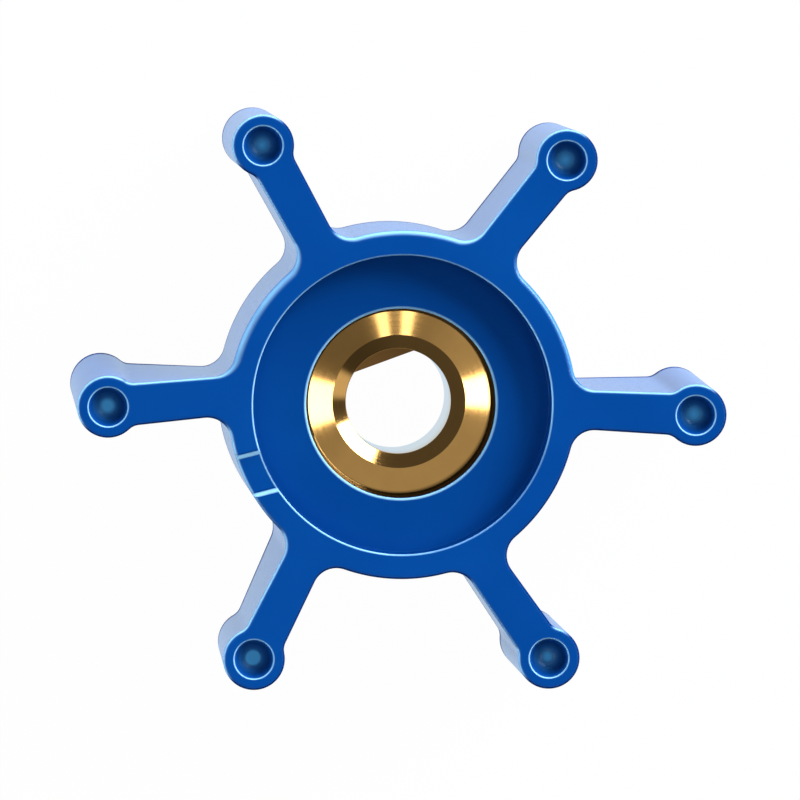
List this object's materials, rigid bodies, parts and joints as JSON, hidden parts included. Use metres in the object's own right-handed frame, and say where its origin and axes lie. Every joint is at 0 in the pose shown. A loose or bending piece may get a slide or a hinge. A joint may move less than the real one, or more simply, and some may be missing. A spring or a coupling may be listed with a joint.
{
  "type": "pump impeller",
  "caption": "Flexible rubber pump impeller with bulb-tipped blades and a bonded brass bush with a D-shaped bore.",
  "frame": {"origin": "on the axis of the D-shaped bore, in the plane of the rear faces", "axes": "+Z along the axis of rotation, from the rear face to the front face with the notch; +X through the root of the first blade"},
  "size_m": [0.05, 0.0444, 0.016],
  "materials": {
    "blue_rubber": "glossy moulded blue rubber",
    "brass": "finely turned brass"
  },
  "bodies": {
    "root": {"rubber_impeller": "blue_rubber", "brass_bush": "brass"}
  },
  "joints": []
}
